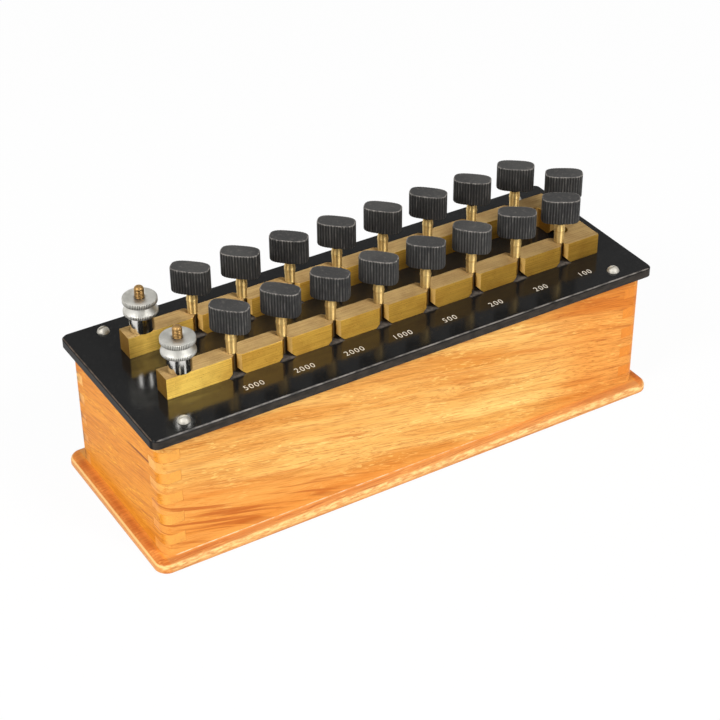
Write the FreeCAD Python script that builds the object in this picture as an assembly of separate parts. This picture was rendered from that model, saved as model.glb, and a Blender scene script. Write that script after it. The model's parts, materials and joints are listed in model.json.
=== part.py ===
# Plug-type resistance box: a comb-jointed wooden case, an ebonite panel, a U-shaped brass bar split into
# blocks by seventeen plug sockets, two terminals, and the coils that hang under the panel.
# Millimetres. +X runs along the rows from the terminals to the joined end, -Y is the front, +Z is up.
# The origin is at the middle of the plinth's underside.
import FreeCAD, Part
import math
import os

Vector = FreeCAD.Vector
UP = Vector(0, 0, 1)

# Rows of blocks and plugs
PLUGS_PER_ROW = 8
PLUG_PITCH = 24.5
ROW_SPACING = 36.0
TERMINAL_BLOCK_REACH = 33.4     # first plug's axis to the left end of a terminal block
END_BAR_REACH = 14.8            # last plug's axis to the middle of the bar across the right end
BLOCK_DEPTH = 9.4
BLOCK_HEIGHT = 10.3
BLOCK_GAP = 1.5
GAP_FLARE = 1.6                 # bevel on the upright corners beside each gap
GAP_UNDERCUT = 1.7              # relief under the block ends, so that the gap widens at the panel
END_INSIDE_RADIUS = 3.0

# Panel
PANEL_THICKNESS = 4.6
PANEL_LEFT_MARGIN = 18.6        # panel's left edge to the terminal blocks
PANEL_RIGHT_MARGIN = 14.6       # bar across the end to the panel's right edge
PANEL_SIDE_MARGIN = 23.6        # rows to the panel's long edges
PANEL_OVERHANG = 3.2
PANEL_CORNER_RADIUS = 3.5
PANEL_BEVEL = 0.8

# Case
WALL_HEIGHT = 60.0
WALL_THICKNESS = 10.0
WALL_CORNER_RADIUS = 5.0
FINGER_COUNT = 11               # fingers in a corner; the long boards have the first and the last
PLINTH_THICKNESS = 5.0
PLINTH_OVERHANG = 5.5
PLINTH_CORNER_RADIUS = 6.0
PLINTH_TOP_ROUND = 2.6
PLINTH_FOOT_BEVEL = 0.8

# Plugs
PIN_DIAMETER_AT_BLOCK_TOP = 4.5
PIN_TAPER = 0.06                # change in diameter for each millimetre of length
PIN_SHANK_LENGTH = 6.2          # top of the block to the ring
PIN_RING_DIAMETER = 5.15
PIN_NECK_DIAMETER = 4.3
PIN_NECK_LENGTH = 4.0
PIN_TIP_BEVEL = 0.5
PIN_TIP_LIFT = 0.8              # tip to the panel
PIN_SPIGOT_DIAMETER = 3.6
PIN_SPIGOT_LENGTH = 7.0
SOCKET_CLEARANCE = 0.06
SPIGOT_CLEARANCE = 0.02
HEAD_LENGTH = 17.6
HEAD_DEPTH = 9.6
HEAD_HEIGHT = 12.0
HEAD_SQUARENESS = 3.0           # exponent of the rounded outline: 2 is an ellipse, more is squarer
HEAD_BOTTOM_ROUND = 0.8
HEAD_TOP_BEVEL = 0.4
BOSS_HEIGHT = 1.0
BOSS_TOP_DIAMETER = 7.4
BOSS_BOTTOM_DIAMETER = 5.8
FLUTE_COUNT = 36
FLUTE_DEPTH = 0.35
# How far each head is turned, in degrees, as the plugs were left
FRONT_HEAD_ANGLES = (-46.0, -47.0, -44.0, -45.0, -41.0, -45.0, -36.0, -32.0)
BACK_HEAD_ANGLES = (-42.0, -41.0, -41.0, -43.0, -44.0, -45.0, -42.0, -38.0)
INFINITY_HEAD_ANGLE = -32.0

# Terminals
TERMINAL_SETBACK = 8.8          # left end of a terminal block to the stud's axis
TERMINAL_STUD_DIAMETER = 3.7    # drawn at the thread's core
TERMINAL_TIP_DIAMETER = 4.4     # the free tip, drawn at the thread's crests
TERMINAL_TIP_LENGTH = 5.3       # what stands free above the nut
TERMINAL_TIP_BEVEL = 0.7
TERMINAL_CLEARANCE = 0.06
COLLAR_DIAMETER = 11.0
COLLAR_HEIGHT = 8.5
COLLAR_BEVEL = 0.3
THUMB_NUT_DIAMETER = 15.4
THUMB_NUT_WAIST_DIAMETER = 11.4
THUMB_NUT_LOWER_RIM = 1.6
THUMB_NUT_FLARE = 2.8
THUMB_NUT_GROOVE = 0.9
THUMB_NUT_UPPER_RIM = 2.4
THUMB_NUT_BEVEL = 0.3

# Coils under the panel
STUD_DIAMETER = 4.0
STUD_DEPTH_IN_BLOCK = 6.5
STUD_CLEARANCE = 0.05
STUD_END_BEYOND_NUT = 1.0
END_STUD_REACH = 8.3            # last plug's axis to the stud of an end block
NUT_ACROSS_FLATS = 7.0
NUT_HEIGHT = 3.2
BOBBIN_LENGTH = 38.0
BOBBIN_FLANGE_DIAMETER = 15.0
BOBBIN_FLANGE_THICKNESS = 2.0
BOBBIN_CORE_DIAMETER = 8.4
WINDING_DIAMETER = 13.0
WINDING_CLEARANCE = 0.05
LEAD_WIDTH = 1.6
LEAD_THICKNESS = 0.8
LEAD_SPACING = 2.2              # between the two leads that reach one nut
LEAD_FLANGE_CLEARANCE = 0.2
LEAD_DROP = 1.2                 # panel's underside to the leads
LEAD_BELOW_FLANGE = 1.0

# Wood screws
PANEL_SCREW_INSET_X = 14.7      # from the case's short faces
PANEL_SCREW_INSET_Y = 4.0       # from the case's long faces
PANEL_SCREW_DIAMETER = 3.0
PANEL_SCREW_LENGTH = 16.0
PANEL_SCREW_HEAD_DIAMETER = 5.8
PANEL_SCREW_HEAD_HEIGHT = 2.3
PANEL_SCREW_SLOT_WIDTH = 0.9
PANEL_SCREW_SLOT_DEPTH = 1.0
PLINTH_SCREW_INSET_X = 30.0
PLINTH_SCREW_DIAMETER = 3.2
PLINTH_SCREW_LENGTH = 18.0
PLINTH_SCREW_HEAD_DIAMETER = 6.4
PLINTH_SCREW_RECESS = 0.3
SCREW_POINT_LENGTH = 3.0
SCREW_CLEARANCE = 0.05

SAME = 1e-6                      # lengths closer than this count as equal

# Worked out from the sizes above
bar_length = TERMINAL_BLOCK_REACH + (PLUGS_PER_ROW - 1) * PLUG_PITCH + END_BAR_REACH + BLOCK_DEPTH / 2
panel_length = PANEL_LEFT_MARGIN + bar_length + PANEL_RIGHT_MARGIN
panel_depth = ROW_SPACING + BLOCK_DEPTH + 2 * PANEL_SIDE_MARGIN
case_length = panel_length - 2 * PANEL_OVERHANG
case_depth = panel_depth - 2 * PANEL_OVERHANG
wall_bottom = PLINTH_THICKNESS
wall_top = wall_bottom + WALL_HEIGHT
panel_top = wall_top + PANEL_THICKNESS
block_top = panel_top + BLOCK_HEIGHT
bar_left = -panel_length / 2 + PANEL_LEFT_MARGIN
first_plug_x = bar_left + TERMINAL_BLOCK_REACH
plug_xs = [first_plug_x + i * PLUG_PITCH for i in range(PLUGS_PER_ROW)]
end_bar_x = plug_xs[-1] + END_BAR_REACH
front_row_y = -ROW_SPACING / 2
back_row_y = ROW_SPACING / 2
terminal_x = bar_left + TERMINAL_SETBACK
stud_xs = [x + PLUG_PITCH / 2 for x in plug_xs[:-1]] + [plug_xs[-1] + END_STUD_REACH]
clamp_nut_bottom = wall_top - NUT_HEIGHT
bobbin_bottom = clamp_nut_bottom - BOBBIN_LENGTH
collar_top = block_top + COLLAR_HEIGHT
thumb_nut_height = THUMB_NUT_LOWER_RIM + THUMB_NUT_FLARE + THUMB_NUT_GROOVE + THUMB_NUT_UPPER_RIM
thumb_nut_top = collar_top + thumb_nut_height
boss_bottom = block_top + PIN_SHANK_LENGTH + PIN_NECK_LENGTH
head_bottom = boss_bottom + BOSS_HEIGHT
head_top = head_bottom + HEAD_HEIGHT


def centred_box(length, depth, height, x=0.0, y=0.0, bottom=0.0):
    return Part.makeBox(length, depth, height, Vector(x - length / 2, y - depth / 2, bottom))


def cylinder(diameter, height, x=0.0, y=0.0, bottom=0.0):
    return Part.makeCylinder(diameter / 2, height, Vector(x, y, bottom), UP)


def turned(profile):
    """A solid of revolution about Z from (radius, height) points."""
    points = [Vector(radius, 0, height) for radius, height in profile]
    face = Part.Face(Part.makePolygon(points + points[:1]))
    return face.revolve(Vector(0, 0, 0), UP, 360)


def prism(points, direction):
    return Part.Face(Part.makePolygon(points + points[:1])).extrude(direction)


def placed(shape, x, y, z=0.0, angle=0.0):
    copy = shape.copy()
    copy.rotate(Vector(0, 0, 0), UP, angle)
    copy.translate(Vector(x, y, z))
    return copy


def upright_edges(shape):
    return [e for e in shape.Edges if abs(e.BoundBox.ZLength - shape.BoundBox.ZLength) < SAME]


def level_edges(shape, height):
    return [e for e in shape.Edges if e.BoundBox.ZLength < SAME and abs(e.BoundBox.ZMin - height) < SAME]


def rounded_board(length, depth, thickness, corner_radius, bottom):
    board = centred_box(length, depth, thickness, bottom=bottom)
    return board.makeFillet(corner_radius, upright_edges(board))


def export(shape, node):
    shape.exportStep("parts/" + node + ".step")


def export_group(shapes, node):
    export(Part.makeCompound(shapes), node)


# Screw positions, shared by the screws and every hole that takes them
def panel_screw_places():
    x = case_length / 2 - PANEL_SCREW_INSET_X
    y = case_depth / 2 - PANEL_SCREW_INSET_Y
    return [(sx * x, sy * y) for sx in (-1, 1) for sy in (-1, 1)]


def plinth_screw_places():
    x = case_length / 2 - PLINTH_SCREW_INSET_X
    y = case_depth / 2 - WALL_THICKNESS / 2
    return [(sx * x, sy * y) for sx in (-1, 0, 1) for sy in (-1, 1)]


def stud_places():
    return [(x, y) for y in (front_row_y, back_row_y) for x in stud_xs]


def terminal_places():
    return {"front": (terminal_x, front_row_y), "back": (terminal_x, back_row_y)}


# Wood screws
def screw_shank(diameter, length):
    """A plain shank with a point, hanging down from height 0."""
    radius = diameter / 2
    return turned([(0, 0), (radius, 0), (radius, SCREW_POINT_LENGTH - length), (0, -length)])


def panel_screw():
    """A round-head slotted screw whose head sits on height 0."""
    head_radius = PANEL_SCREW_HEAD_DIAMETER / 2
    dome_radius = (head_radius ** 2 + PANEL_SCREW_HEAD_HEIGHT ** 2) / (2 * PANEL_SCREW_HEAD_HEIGHT)
    dome_centre = Vector(0, 0, PANEL_SCREW_HEAD_HEIGHT - dome_radius)
    ball = Part.makeSphere(dome_radius, dome_centre)
    head = ball.common(cylinder(PANEL_SCREW_HEAD_DIAMETER, PANEL_SCREW_HEAD_HEIGHT))
    slot = centred_box(PANEL_SCREW_HEAD_DIAMETER, PANEL_SCREW_SLOT_WIDTH, PANEL_SCREW_SLOT_DEPTH,
                       bottom=PANEL_SCREW_HEAD_HEIGHT - PANEL_SCREW_SLOT_DEPTH)
    return head.cut(slot).fuse(screw_shank(PANEL_SCREW_DIAMETER, PANEL_SCREW_LENGTH)).removeSplitter()


def countersunk_profile(extra):
    """A countersunk head and shank standing point up from height 0, grown by a clearance."""
    head_radius = PLINTH_SCREW_HEAD_DIAMETER / 2 + extra
    radius = PLINTH_SCREW_DIAMETER / 2 + extra
    tip = PLINTH_SCREW_LENGTH + extra
    return [(0, 0), (head_radius, 0), (radius, head_radius - radius),
            (radius, tip - SCREW_POINT_LENGTH), (0, tip)]


def plinth_screw():
    return turned(countersunk_profile(0.0))


def panel_screw_hole(x, y):
    diameter = PANEL_SCREW_DIAMETER + 2 * SCREW_CLEARANCE
    length = PANEL_SCREW_LENGTH + SCREW_CLEARANCE
    return cylinder(diameter, length, x, y, panel_top - length)


def plinth_screw_hole(x, y):
    sunk = turned(countersunk_profile(SCREW_CLEARANCE))
    mouth = cylinder(PLINTH_SCREW_HEAD_DIAMETER + 2 * SCREW_CLEARANCE, PLINTH_SCREW_RECESS)
    return placed(sunk, x, y, PLINTH_SCREW_RECESS).fuse(placed(mouth, x, y))


# Case
def corner_fingers(first):
    """The blocks of wood that cross in the corners, from finger number `first`, every second one."""
    height = WALL_HEIGHT / FINGER_COUNT
    x = (case_length - WALL_THICKNESS) / 2
    y = (case_depth - WALL_THICKNESS) / 2
    return [centred_box(WALL_THICKNESS, WALL_THICKNESS, height, sx * x, sy * y, wall_bottom + i * height)
            for i in range(first, FINGER_COUNT, 2) for sx in (-1, 1) for sy in (-1, 1)]


def wall(board, other_fingers):
    outside = rounded_board(case_length, case_depth, WALL_HEIGHT, WALL_CORNER_RADIUS, wall_bottom)
    holes = [panel_screw_hole(x, y) for x, y in panel_screw_places()]
    holes += [plinth_screw_hole(x, y) for x, y in plinth_screw_places()]
    return board.cut(other_fingers).common(outside).cut(holes)


def build_case():
    long_fingers = corner_fingers(0)
    short_fingers = corner_fingers(1)
    for name, side in (("front_wall", -1), ("back_wall", 1)):
        y = side * (case_depth - WALL_THICKNESS) / 2
        board = centred_box(case_length, WALL_THICKNESS, WALL_HEIGHT, 0, y, wall_bottom)
        export(wall(board, short_fingers), name)
    for name, side in (("left_wall", -1), ("right_wall", 1)):
        x = side * (case_length - WALL_THICKNESS) / 2
        board = centred_box(WALL_THICKNESS, case_depth, WALL_HEIGHT, x, 0, wall_bottom)
        export(wall(board, long_fingers), name)


def build_plinth():
    length = case_length + 2 * PLINTH_OVERHANG
    depth = case_depth + 2 * PLINTH_OVERHANG
    board = rounded_board(length, depth, PLINTH_THICKNESS, PLINTH_CORNER_RADIUS, 0)
    board = board.makeFillet(PLINTH_TOP_ROUND, level_edges(board, PLINTH_THICKNESS))
    board = board.makeChamfer(PLINTH_FOOT_BEVEL, level_edges(board, 0))
    export(board.cut([plinth_screw_hole(x, y) for x, y in plinth_screw_places()]), "plinth")
    screws = [placed(plinth_screw(), x, y, PLINTH_SCREW_RECESS) for x, y in plinth_screw_places()]
    export_group(screws, "plinth_screws")


def build_panel():
    plate = rounded_board(panel_length, panel_depth, PANEL_THICKNESS, PANEL_CORNER_RADIUS, wall_top)
    plate = plate.makeChamfer(PANEL_BEVEL, level_edges(plate, panel_top))
    holes = [panel_screw_hole(x, y) for x, y in panel_screw_places()]
    for x, y in stud_places():
        holes.append(cylinder(STUD_DIAMETER + 2 * STUD_CLEARANCE, PANEL_THICKNESS, x, y, wall_top))
    for x, y in terminal_places().values():
        diameter = TERMINAL_STUD_DIAMETER + 2 * TERMINAL_CLEARANCE
        holes.append(cylinder(diameter, PANEL_THICKNESS, x, y, wall_top))
    export(plate.cut(holes), "panel")
    screws = [placed(panel_screw(), x, y, panel_top) for x, y in panel_screw_places()]
    export_group(screws, "panel_screws")


# Brass bar, split into blocks
def pin_radius(height):
    """The taper's radius at a height over the top of the blocks."""
    return (PIN_DIAMETER_AT_BLOCK_TOP + PIN_TAPER * height) / 2


def gap_cutter():
    """What a plug takes out of the bar: a slot with flared mouths, a relief below and a taper socket."""
    half_gap = BLOCK_GAP / 2
    half_depth = BLOCK_DEPTH / 2
    mouth = half_gap + GAP_FLARE
    outline = [(-mouth, -half_depth), (mouth, -half_depth), (half_gap, GAP_FLARE - half_depth),
               (half_gap, half_depth - GAP_FLARE), (mouth, half_depth), (-mouth, half_depth),
               (-half_gap, half_depth - GAP_FLARE), (-half_gap, GAP_FLARE - half_depth)]
    slot = prism([Vector(x, y, panel_top) for x, y in outline], UP * BLOCK_HEIGHT)
    foot = mouth + GAP_UNDERCUT
    relief = prism([Vector(-foot, -half_depth, panel_top), Vector(foot, -half_depth, panel_top),
                    Vector(0, -half_depth, panel_top + foot)], Vector(0, BLOCK_DEPTH, 0))
    socket = Part.makeCone(pin_radius(-BLOCK_HEIGHT) + SOCKET_CLEARANCE, pin_radius(0) + SOCKET_CLEARANCE,
                           BLOCK_HEIGHT, Vector(0, 0, panel_top), UP)
    return slot.fuse([relief, socket])


def plug_places():
    """Every plug's place, the turn of its gap and the turn of its head."""
    places = {}
    rows = (("front", front_row_y, FRONT_HEAD_ANGLES), ("back", back_row_y, BACK_HEAD_ANGLES))
    for row, y, angles in rows:
        for i, x in enumerate(plug_xs):
            places[row + "_" + str(i + 1)] = (x, y, 0.0, angles[i])
    places["infinity"] = (end_bar_x, 0.0, 90.0, INFINITY_HEAD_ANGLE)
    return places


def whole_bar():
    """The U-shaped bar before it is split: two rows and the bar across the right end."""
    middle = bar_left + bar_length / 2
    bars = [centred_box(bar_length, BLOCK_DEPTH, BLOCK_HEIGHT, middle, y, panel_top)
            for y in (front_row_y, back_row_y)]
    across = centred_box(BLOCK_DEPTH, ROW_SPACING, BLOCK_HEIGHT, end_bar_x, 0, panel_top)
    bar = bars[0].fuse([bars[1], across]).removeSplitter()
    inside_x = end_bar_x - BLOCK_DEPTH / 2
    inside_y = (ROW_SPACING - BLOCK_DEPTH) / 2
    inside = []
    for edge in upright_edges(bar):
        middle = edge.CenterOfMass
        if math.hypot(middle.x - inside_x, abs(middle.y) - inside_y) < SAME:
            inside.append(edge)
    return bar.makeFillet(END_INSIDE_RADIUS, inside)


def build_blocks():
    cutter = gap_cutter()
    cuts = [placed(cutter, x, y, 0, turn) for x, y, turn, _ in plug_places().values()]
    for x, y in stud_places():
        cuts.append(cylinder(STUD_DIAMETER + 2 * STUD_CLEARANCE, STUD_DEPTH_IN_BLOCK, x, y, panel_top))
    for x, y in terminal_places().values():
        diameter = TERMINAL_STUD_DIAMETER + 2 * TERMINAL_CLEARANCE
        cuts.append(cylinder(diameter, BLOCK_HEIGHT, x, y, panel_top))
    blocks = whole_bar().cut(cuts).Solids
    for row, side in (("front", -1), ("back", 1)):
        in_row = [block for block in blocks if block.CenterOfMass.y * side > 0]
        in_row.sort(key=lambda block: block.CenterOfMass.x)
        export(in_row[0], row + "_terminal_block")
        export_group(in_row[1:-1], row + "_row_blocks")
        export(in_row[-1], row + "_end_block")


# Plugs
def head_outline(flute_depth):
    """Points at even steps round the head's outline, every second one sunk to the bottom of a flute."""
    a = HEAD_LENGTH / 2
    b = HEAD_DEPTH / 2
    n = HEAD_SQUARENESS
    fine = 720
    trail = []
    for i in range(fine + 1):
        angle = 2 * math.pi * i / fine
        c, s = math.cos(angle), math.sin(angle)
        reach = (abs(c / a) ** n + abs(s / b) ** n) ** (-1 / n)
        trail.append(Vector(reach * c, reach * s, 0))
    lengths = [0.0]
    for before, after in zip(trail, trail[1:]):
        lengths.append(lengths[-1] + before.distanceToPoint(after))
    points = []
    k = 0
    for j in range(2 * FLUTE_COUNT):
        wanted = lengths[-1] * j / (2 * FLUTE_COUNT)
        while lengths[k + 1] < wanted:
            k += 1
        share = (wanted - lengths[k]) / (lengths[k + 1] - lengths[k])
        point = trail[k] + (trail[k + 1] - trail[k]) * share
        along = trail[k + 1] - trail[k]
        inward = Vector(-along.y, along.x, 0).normalize()
        points.append(point + inward * (flute_depth if j % 2 else 0.0))
    return points


def plug_head():
    """A fluted head, drawn in at its lower edge, bevelled on top, with a boss below, bored for the pin."""
    outline = head_outline(FLUTE_DEPTH)
    levels = [(head_bottom, 1 - 2 * HEAD_BOTTOM_ROUND / HEAD_DEPTH),
              (head_bottom + HEAD_BOTTOM_ROUND, 1.0),
              (head_top - HEAD_TOP_BEVEL, 1.0),
              (head_top, 1 - 2 * HEAD_TOP_BEVEL / HEAD_DEPTH)]
    rings = []
    for height, share in levels:
        points = [Vector(p.x * share, p.y * share, height) for p in outline]
        rings.append(Part.makePolygon(points + points[:1]))
    head = Part.makeLoft(rings, True, True)
    boss = Part.makeCone(BOSS_BOTTOM_DIAMETER / 2, BOSS_TOP_DIAMETER / 2, BOSS_HEIGHT,
                         Vector(0, 0, boss_bottom), UP)
    bore = cylinder(PIN_SPIGOT_DIAMETER + 2 * SPIGOT_CLEARANCE, PIN_SPIGOT_LENGTH + SPIGOT_CLEARANCE,
                    bottom=boss_bottom)
    return head.fuse(boss).cut(bore)


def plug_pin():
    """The turned pin: taper, ring, neck and the spigot that the head is moulded on."""
    tip = PIN_TIP_LIFT - BLOCK_HEIGHT
    shoulder = PIN_SHANK_LENGTH
    neck_top = shoulder + PIN_NECK_LENGTH
    spigot_top = neck_top + PIN_SPIGOT_LENGTH
    ring_radius = PIN_RING_DIAMETER / 2
    ring_bevel = ring_radius - pin_radius(shoulder)
    profile = [(0, tip), (pin_radius(tip) - PIN_TIP_BEVEL, tip),
               (pin_radius(tip + PIN_TIP_BEVEL), tip + PIN_TIP_BEVEL),
               (pin_radius(shoulder - ring_bevel), shoulder - ring_bevel), (ring_radius, shoulder),
               (PIN_NECK_DIAMETER / 2, neck_top), (PIN_SPIGOT_DIAMETER / 2, neck_top),
               (PIN_SPIGOT_DIAMETER / 2, spigot_top), (0, spigot_top)]
    return turned([(radius, block_top + height) for radius, height in profile])


def build_plugs():
    head = plug_head()
    pin = plug_pin()
    for name, (x, y, _, angle) in plug_places().items():
        export(placed(pin, x, y), "plug_pin_" + name)
        export(placed(head, x, y, 0, angle), "plug_head_" + name)


# Terminals
def terminal_stud():
    """The screwed stud from under the panel up to the free tip, each part drawn at its own diameter."""
    bottom = clamp_nut_bottom - STUD_END_BEYOND_NUT
    radius = TERMINAL_STUD_DIAMETER / 2
    tip_radius = TERMINAL_TIP_DIAMETER / 2
    top = thumb_nut_top + TERMINAL_TIP_LENGTH
    return turned([(0, bottom), (radius, bottom), (radius, thumb_nut_top), (tip_radius, thumb_nut_top),
                   (tip_radius, top - TERMINAL_TIP_BEVEL), (tip_radius - TERMINAL_TIP_BEVEL, top),
                   (0, top)])


def terminal_collar():
    bore = TERMINAL_TIP_DIAMETER / 2 + TERMINAL_CLEARANCE
    radius = COLLAR_DIAMETER / 2
    return turned([(bore, block_top), (radius - COLLAR_BEVEL, block_top),
                   (radius, block_top + COLLAR_BEVEL), (radius, collar_top - COLLAR_BEVEL),
                   (radius - COLLAR_BEVEL, collar_top), (bore, collar_top)])


def thumb_nut():
    """A spool: lower rim, flare up to the waist, groove, upper rim."""
    bore = TERMINAL_TIP_DIAMETER / 2 + TERMINAL_CLEARANCE
    rim = THUMB_NUT_DIAMETER / 2
    waist = THUMB_NUT_WAIST_DIAMETER / 2
    bevel = THUMB_NUT_BEVEL
    flare_bottom = collar_top + THUMB_NUT_LOWER_RIM
    flare_top = flare_bottom + THUMB_NUT_FLARE
    upper_rim = flare_top + THUMB_NUT_GROOVE
    return turned([(bore, collar_top), (rim - bevel, collar_top), (rim, collar_top + bevel),
                   (rim, flare_bottom), (rim - bevel, flare_bottom), (waist, flare_top),
                   (waist, upper_rim - bevel), (rim, upper_rim), (rim, thumb_nut_top - bevel),
                   (rim - bevel, thumb_nut_top), (bore, thumb_nut_top)])


def build_terminals():
    for row, (x, y) in terminal_places().items():
        export(placed(terminal_stud(), x, y), row + "_terminal_stud")
        export(placed(terminal_collar(), x, y), row + "_terminal_collar")
        export(placed(thumb_nut(), x, y), row + "_terminal_nut")


# Coils under the panel
def hexagon_nut(bore_diameter):
    reach = NUT_ACROSS_FLATS / math.sqrt(3)
    corners = [Vector(reach * math.cos(a), reach * math.sin(a), 0)
               for a in (math.radians(30 + 60 * i) for i in range(6))]
    return prism(corners, UP * NUT_HEIGHT).cut(cylinder(bore_diameter, NUT_HEIGHT))


def bobbin():
    bore = STUD_DIAMETER / 2 + STUD_CLEARANCE
    flange = BOBBIN_FLANGE_DIAMETER / 2
    core = BOBBIN_CORE_DIAMETER / 2
    inner_bottom = bobbin_bottom + BOBBIN_FLANGE_THICKNESS
    inner_top = clamp_nut_bottom - BOBBIN_FLANGE_THICKNESS
    return turned([(bore, bobbin_bottom), (flange, bobbin_bottom), (flange, inner_bottom),
                   (core, inner_bottom), (core, inner_top), (flange, inner_top),
                   (flange, clamp_nut_bottom), (bore, clamp_nut_bottom)])


def winding():
    inside = BOBBIN_CORE_DIAMETER / 2 + WINDING_CLEARANCE
    outside = WINDING_DIAMETER / 2
    bottom = bobbin_bottom + BOBBIN_FLANGE_THICKNESS + WINDING_CLEARANCE
    top = clamp_nut_bottom - BOBBIN_FLANGE_THICKNESS - WINDING_CLEARANCE
    return turned([(inside, bottom), (outside, bottom), (outside, top), (inside, top)])


def lead(side, nut_flat, y):
    """A copper strip from the winding's outside, round the flange and over to a nut's flat at `nut_flat`.

    Side is 1 where it leaves the winding towards +X and -1 towards -X."""
    start = side * WINDING_DIAMETER / 2
    inner = side * (BOBBIN_FLANGE_DIAMETER / 2 + LEAD_FLANGE_CLEARANCE)
    outer = inner + side * LEAD_THICKNESS
    high = wall_top - LEAD_DROP
    low = clamp_nut_bottom - BOBBIN_FLANGE_THICKNESS - LEAD_BELOW_FLANGE
    under = high - LEAD_THICKNESS
    if (nut_flat - outer) * side > 0:
        over = [(outer, under), (nut_flat, under), (nut_flat, high), (inner, high)]
    else:
        over = [(outer, high), (nut_flat, high), (nut_flat, under), (inner, under)]
    foot = low - LEAD_THICKNESS
    outline = [(start, low), (start, foot), (outer, foot)] + over + [(inner, low)]
    points = [Vector(x, y - LEAD_WIDTH / 2, z) for x, z in outline]
    return prism(points, Vector(0, LEAD_WIDTH, 0))


def build_coils():
    stud_bottom = bobbin_bottom - NUT_HEIGHT - STUD_END_BEYOND_NUT
    stud_length = panel_top + STUD_DEPTH_IN_BLOCK - STUD_CLEARANCE - stud_bottom
    nut = hexagon_nut(STUD_DIAMETER + 2 * STUD_CLEARANCE)
    terminal_nut = hexagon_nut(TERMINAL_STUD_DIAMETER + 2 * TERMINAL_CLEARANCE)
    half_flats = NUT_ACROSS_FLATS / 2
    studs = [cylinder(STUD_DIAMETER, stud_length, x, y, stud_bottom) for x, y in stud_places()]
    export_group(studs, "block_studs")
    nuts = []
    for x, y in stud_places():
        nuts.append(placed(nut, x, y, clamp_nut_bottom))
        nuts.append(placed(nut, x, y, bobbin_bottom - NUT_HEIGHT))
    nuts += [placed(terminal_nut, x, y, clamp_nut_bottom) for x, y in terminal_places().values()]
    export_group(nuts, "stud_nuts")
    export_group([placed(bobbin(), x, y) for x, y in stud_places()], "coil_bobbins")
    export_group([placed(winding(), x, y) for x, y in stud_places()], "coil_windings")
    leads = []
    for y in (front_row_y, back_row_y):
        for before, x in zip([terminal_x] + stud_xs, stud_xs):
            leads.append(placed(lead(1, half_flats, LEAD_SPACING / 2), x, y))
            leads.append(placed(lead(-1, before + half_flats - x, -LEAD_SPACING / 2), x, y))
    export_group(leads, "coil_leads")


os.makedirs("parts", exist_ok=True)
build_plinth()
build_case()
build_panel()
build_blocks()
build_plugs()
build_terminals()
build_coils()
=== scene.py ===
import json
import math

import bmesh
import bpy
import numpy as np
from mathutils import Matrix, Vector

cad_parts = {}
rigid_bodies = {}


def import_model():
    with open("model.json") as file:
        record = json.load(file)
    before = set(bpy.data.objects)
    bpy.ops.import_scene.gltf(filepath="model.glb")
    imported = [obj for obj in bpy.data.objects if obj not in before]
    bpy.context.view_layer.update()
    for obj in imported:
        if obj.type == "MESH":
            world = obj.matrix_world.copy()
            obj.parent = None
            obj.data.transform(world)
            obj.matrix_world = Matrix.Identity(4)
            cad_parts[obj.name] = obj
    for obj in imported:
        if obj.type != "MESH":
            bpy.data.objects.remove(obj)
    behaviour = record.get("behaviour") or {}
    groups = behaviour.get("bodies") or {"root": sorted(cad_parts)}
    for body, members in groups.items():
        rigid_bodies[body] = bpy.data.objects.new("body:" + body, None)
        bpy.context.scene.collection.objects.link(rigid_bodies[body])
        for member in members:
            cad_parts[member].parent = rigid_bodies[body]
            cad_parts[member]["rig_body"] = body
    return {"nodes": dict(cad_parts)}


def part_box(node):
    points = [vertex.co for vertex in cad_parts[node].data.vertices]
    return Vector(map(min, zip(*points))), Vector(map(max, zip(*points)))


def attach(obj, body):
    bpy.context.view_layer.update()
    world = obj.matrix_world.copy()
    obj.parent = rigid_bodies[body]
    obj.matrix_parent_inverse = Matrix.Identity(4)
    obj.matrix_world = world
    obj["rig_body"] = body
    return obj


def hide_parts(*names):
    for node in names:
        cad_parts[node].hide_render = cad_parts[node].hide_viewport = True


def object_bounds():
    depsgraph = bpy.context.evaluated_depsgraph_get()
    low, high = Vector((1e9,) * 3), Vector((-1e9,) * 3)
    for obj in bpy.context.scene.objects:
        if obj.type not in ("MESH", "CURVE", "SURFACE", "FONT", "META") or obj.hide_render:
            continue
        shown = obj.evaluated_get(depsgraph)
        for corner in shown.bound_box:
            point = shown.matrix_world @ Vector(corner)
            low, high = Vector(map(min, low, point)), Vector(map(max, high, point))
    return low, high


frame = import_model()
cad_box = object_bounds()
nodes = frame["nodes"]

MM = 0.001


def srgb(red, green, blue):
    """A colour written in everyday 0 to 255 values, as the linear colour that sockets take."""
    linear = []
    for value in (red, green, blue):
        share = value / 255
        linear.append(share / 12.92 if share <= 0.04045 else ((share + 0.055) / 1.055) ** 2.4)
    return (*linear, 1.0)


# Edges broken by hand on the boards, the panel and the brass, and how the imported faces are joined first
BOARD_EDGE = 0.25 * MM
PANEL_EDGE = 0.25 * MM
BLOCK_EDGE = 0.2 * MM
EDGE_STEPS = 2
EDGE_ANGLE = math.radians(28)
JOIN_DISTANCE = 0.002 * MM
FLAT_ANGLE = math.radians(0.3)

# Ringed pieces: points round the outline, the power that makes it round, and the angle of a sharp edge
OUTLINE_STEPS = 360
ROUND_OUTLINE = 2.0
RINGED_SHARP_ANGLE = math.radians(50)
ROUND_STEPS = 5

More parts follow.
